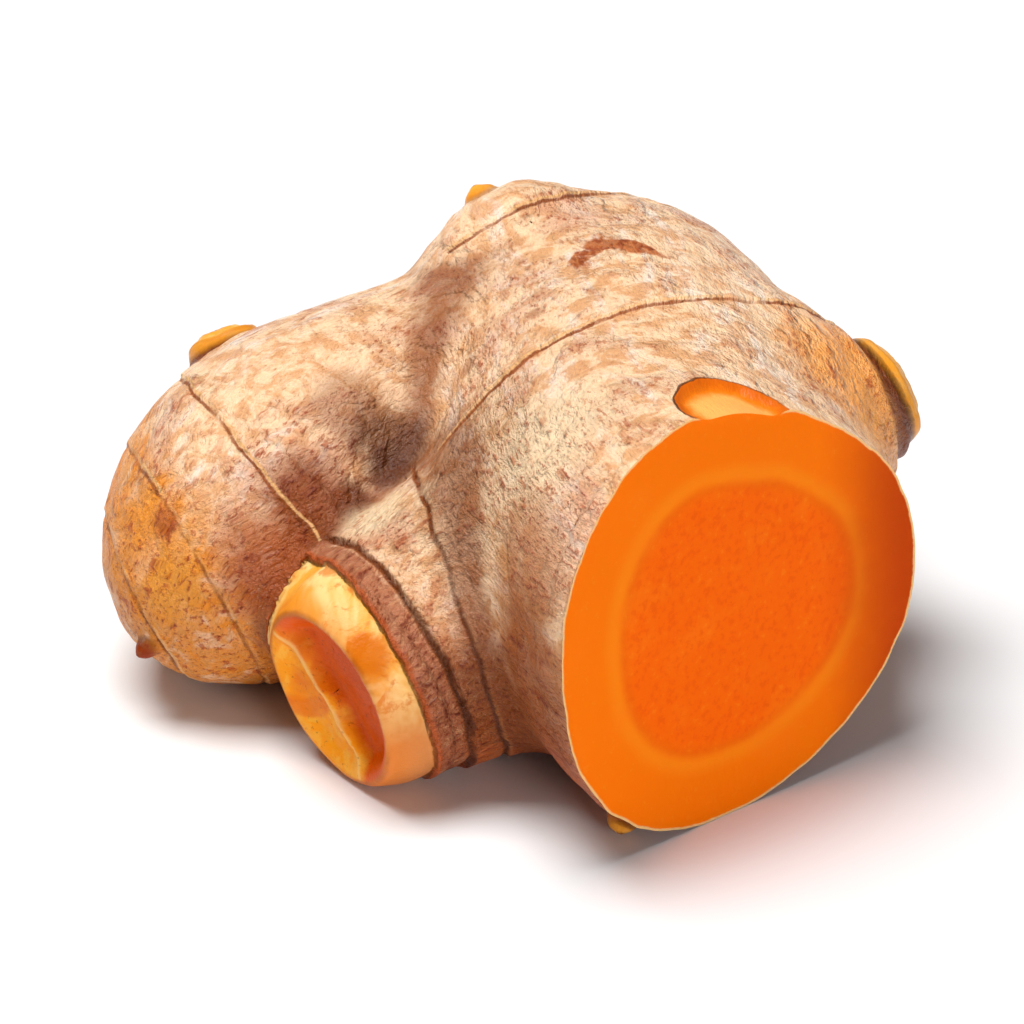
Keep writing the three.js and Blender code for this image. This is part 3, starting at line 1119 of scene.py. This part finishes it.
# Along `share` the core ends at about 0.65, the ring lies at 0.70 and the skin begins at 0.99.
in_core = edge(share, 0.69, 0.58, wobble, -0.02)
core_line = line(share, 0.645, 0.05, 0.0, wobble, -0.015)
ring_line = line(share, 0.70, 0.08, 0.0, wobble, -0.02)
skin_line = edge(share, 0.986, 0.994, grainy, 0.006)
colour = coat(tree, shade("#FD7602"), [
    ("#FF8812", join(ring_line, 0.7)),
    ("#FA6402", join(in_core, 0.9)),
    ("#E04E02", join(core_line, 0.28)),
    ("#FF7A10", join(edge(soft, 0.50, 0.68), 0.35)),
    ("#EC5202", join(edge(grainy, 0.50, 0.64), in_core, 0.5)),
    ("#FF8A1E", join(edge(grainy, 0.42, 0.30), 0.35)),
    # painted shadow along the right of the cut face
    ("#B02C04", join(painted_neighbour_shadow, 0.8)),
    ("#F4BE7E", join(skin_line, edge(from_chip, 3.2, 3.8))),
])
raised = add(tree, "Bump", {}, {"Height": grainy, "Strength": 0.5, "Distance": 0.05 * MM}).outputs[0]
wet = add(tree, "MapRange", {}, {"Value": soft, "To Min": 0.42, "To Max": 0.58}).outputs[0]
shader = add(tree, "BsdfPrincipled", {}, {
    "Base Color": colour, "Roughness": wet, "IOR": 1.38, "Specular IOR Level": 0.04, "Normal": raised,
    "Subsurface Weight": 0.25, "Subsurface Radius": (1.0, 0.35, 0.05), "Subsurface Scale": 1.2 * MM})
add(tree, "OutputMaterial", {}, {"Surface": shader.outputs[0]})
skin.materials.append(flesh_material)
print("materials:", [material.name for material in skin.materials])

# %% [markdown]
# ## The table, the light and the camera
#
# The root lies on a plain white table, which is only a stage: a large plane, a hair lower than the
# root, so that no two surfaces coincide.

# %% Table
TABLE_SIZE, HAIR = 6.0, 0.02 * MM
BASE = spot(0.5, 0.5, 0.0) * MM
bpy.ops.mesh.primitive_plane_add(size=TABLE_SIZE, location=BASE - np.array((0, 0, HAIR)))
table = bpy.context.object
table.name = "table_top"
table_material, tree, place = start_material("white_table")
even = pattern(place, 40.0)
colour = coat(tree, shade("#F1F1F1"), [("#ECECEC", even)])
shader = add(tree, "BsdfPrincipled", {}, {"Base Color": colour, "Roughness": 0.7})
add(tree, "OutputMaterial", {}, {"Surface": shader.outputs[0]})
table.data.materials.append(table_material)
table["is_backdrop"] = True
print("the table lies at", round(table.location.z / MM, 2), "mm")

# %% [markdown]
# A wide soft light hangs almost overhead, a little to the left, so shadows are short and soft. A
# weaker one, low in front and to the right, keeps the cut face bright, and a faint white world lifts
# the shadows.

# %% Light
AIM = spot(0.499, 0.464, 0.442) * MM
WORLD_STRENGTH = 0.10
LIGHTS = {
    # name: direction to it from the root, distance and width in metres, power in watts
    "key": ((-0.24, 0.02, 0.97), 0.60, 0.34, 4.8),
    "front": ((0.44, -0.88, 0.18), 0.80, 0.26, 2.5),
}
for name, (direction, distance, width, power) in LIGHTS.items():
    lamp = bpy.data.lights.new(name, "AREA")
    lamp.size, lamp.energy = width, power
    light = bpy.data.objects.new(name, lamp)
    light.location = AIM + unit(*direction) * distance
    light.rotation_mode = "QUATERNION"
    light.rotation_quaternion = Vector(direction).to_track_quat("Z", "Y")
    bpy.context.scene.collection.objects.link(light)
    print(name, "light", power, "W at", [round(value, 2) for value in light.location])

world = bpy.data.worlds.new("studio")
world.use_nodes = True
world.node_tree.nodes["Background"].inputs["Color"].default_value = (1, 1, 1, 1)
world.node_tree.nodes["Background"].inputs["Strength"].default_value = WORLD_STRENGTH
bpy.context.scene.world = world
bpy.context.scene.view_settings.view_transform = "Standard"

# %% [markdown]
# A long lens from 0.6 m, looking down 27 degrees along +Y: near enough for the cut face to look
# round, far enough to keep the root's proportions.

# %% Camera
CAMERA_DROP = math.radians(27)
DISTANCE = 0.6
SEEN = 61.44 * MM   # width of the picture at the root
camera_data = bpy.data.cameras.new("camera")
camera_data.lens = camera_data.sensor_width * DISTANCE / SEEN
camera = bpy.data.objects.new("camera", camera_data)
towards = Vector((0, -math.cos(CAMERA_DROP), math.sin(CAMERA_DROP)))
camera.location = Vector(AIM) + towards * DISTANCE
camera.rotation_mode = "QUATERNION"
camera.rotation_quaternion = towards.to_track_quat("Z", "Y")
bpy.context.scene.collection.objects.link(camera)
bpy.context.scene.camera = camera
print("lens", round(camera_data.lens), "mm")

# %% [markdown]
# Last, the box of the finished piece is written next to the frame's box, to see that they agree.

# %% Both boxes, printed
seen_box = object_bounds()
for name, (low, high) in (("frame", cad_box), ("piece", seen_box)):
    print(name, [round((b - a) / MM, 2) for a, b in zip(low, high)], "mm")
